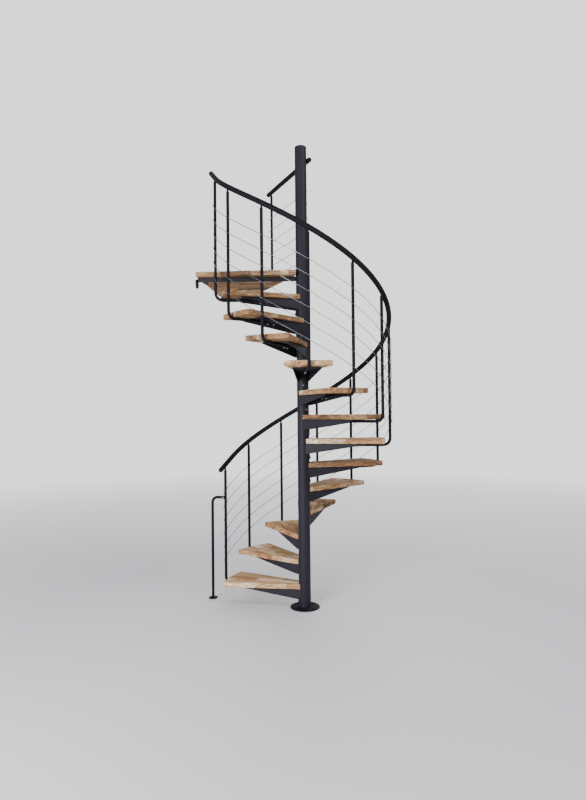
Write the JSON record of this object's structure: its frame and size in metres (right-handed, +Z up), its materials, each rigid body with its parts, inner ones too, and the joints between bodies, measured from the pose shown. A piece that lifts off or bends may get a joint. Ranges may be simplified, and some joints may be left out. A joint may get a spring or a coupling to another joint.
{
  "type": "spiral staircase",
  "caption": "Spiral staircase for one storey with a steel column, wooden wedge treads on steel brackets, a wooden landing, and a tube handrail over balusters and taut wires.",
  "frame": {"origin": "on the floor at the column's axis, in the underside of the base flange", "axes": "+Z up along the column, -X towards the landing's wall, +Y away from the front of the landing"},
  "size_m": [1.672, 1.6074, 3.951],
  "materials": {
    "column_steel": "satin anthracite powder coat",
    "bracket_steel": "satin anthracite powder coat",
    "railing_steel": "satin black powder coat",
    "wire_steel": "bright stainless steel rod",
    "tread_wood": "oiled finger-jointed wood",
    "landing_wood": "oiled finger-jointed wood"
  },
  "bodies": {
    "root": {"baluster_01": "railing_steel", "baluster_02": "railing_steel", "baluster_03": "railing_steel", "baluster_04": "railing_steel", "baluster_05": "railing_steel", "baluster_06": "railing_steel", "baluster_07": "railing_steel", "baluster_08": "railing_steel", "baluster_09": "railing_steel", "baluster_10": "railing_steel", "baluster_11": "railing_steel", "baluster_12": "railing_steel", "baluster_13": "railing_steel", "base_flange": "column_steel", "column": "column_steel", "column_cap": "column_steel", "floor_post": "railing_steel", "floor_post_clamp": "railing_steel", "floor_post_rosette": "railing_steel", "guard_foot": "railing_steel", "guard_post": "railing_steel", "guard_rail": "railing_steel", "guard_wires": "wire_steel", "handrail": "railing_steel", "landing_arm": "bracket_steel", "landing_beam": "bracket_steel", "landing_board": "landing_wood", "railing_wires": "wire_steel", "tread_01": "tread_wood", "tread_02": "tread_wood", "tread_03": "tread_wood", "tread_04": "tread_wood", "tread_05": "tread_wood", "tread_06": "tread_wood", "tread_07": "tread_wood", "tread_08": "tread_wood", "tread_09": "tread_wood", "tread_10": "tread_wood", "tread_11": "tread_wood", "tread_12": "tread_wood", "tread_13": "tread_wood", "tread_brackets": "bracket_steel", "wall_flange": "bracket_steel"}
  },
  "joints": []
}
